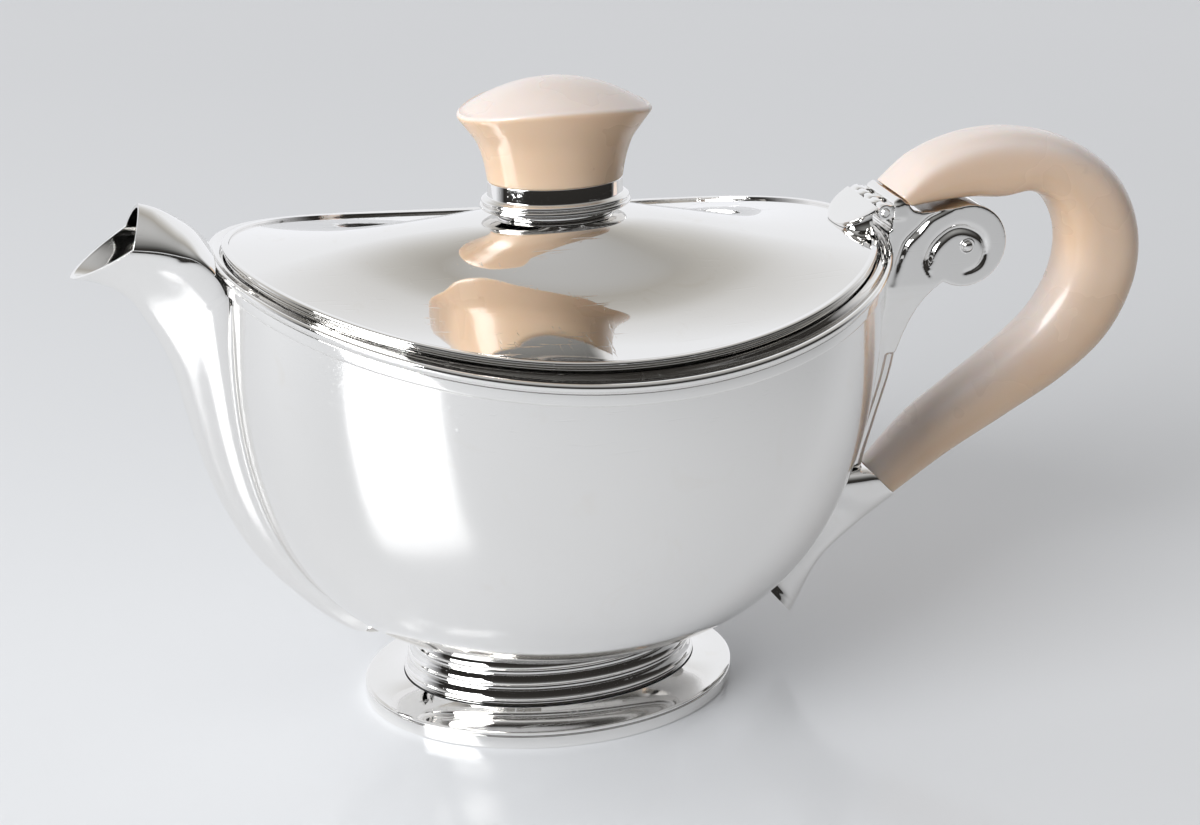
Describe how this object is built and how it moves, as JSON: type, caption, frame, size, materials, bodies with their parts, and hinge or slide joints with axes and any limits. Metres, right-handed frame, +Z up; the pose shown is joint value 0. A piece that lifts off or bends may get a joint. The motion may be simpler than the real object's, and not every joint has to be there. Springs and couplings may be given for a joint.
{
  "type": "teapot",
  "caption": "Oval boat-shaped silver teapot on a stepped foot, with a keeled spout, a hinged dished lid with a flared knob, and a carved C-shaped handle.",
  "frame": {"origin": "centre of the oval foot, on the table", "axes": "+X from the spout to the handle, +Y across the bowl, +Z up from the table"},
  "size_m": [0.2538, 0.1334, 0.1489],
  "materials": {
    "silver": "polished silver with fine wear",
    "ivory": "soft gloss, carved ivory-coloured material",
    "dark_silver": "dull silver of hidden fittings"
  },
  "bodies": {
    "pot": {"foot_edge": "silver", "foot_flare": "silver", "foot_rings": "silver", "bowl": "silver", "rim_band": "silver", "rim_moulding": "silver", "lid_seat": "dark_silver", "spout_trough": "silver", "spout_roof": "silver", "spout_beads": "silver", "upper_bracket": "silver", "volute_scrolls": "silver", "handle": "ivory", "handle_pin": "dark_silver", "rear_strap": "silver", "lower_socket": "silver", "hinge_knuckles": "silver", "hinge_pin": "dark_silver"},
    "lid": {"lid_shell": "silver", "lid_edge": "silver", "lid_bezel": "dark_silver", "lid_leaf": "silver", "lid_knuckles": "silver", "knob_collar": "silver", "knob": "ivory", "knob_stud": "dark_silver", "knob_washer": "dark_silver", "knob_nut": "dark_silver"}
  },
  "joints": [
    {"name": "lid_hinge", "type": "hinge", "parent": "pot", "child": "lid", "pos_m": [0.0787, 0, 0.1143], "axis": [0, 1, 0], "range_deg": [0, 95]}
  ]
}
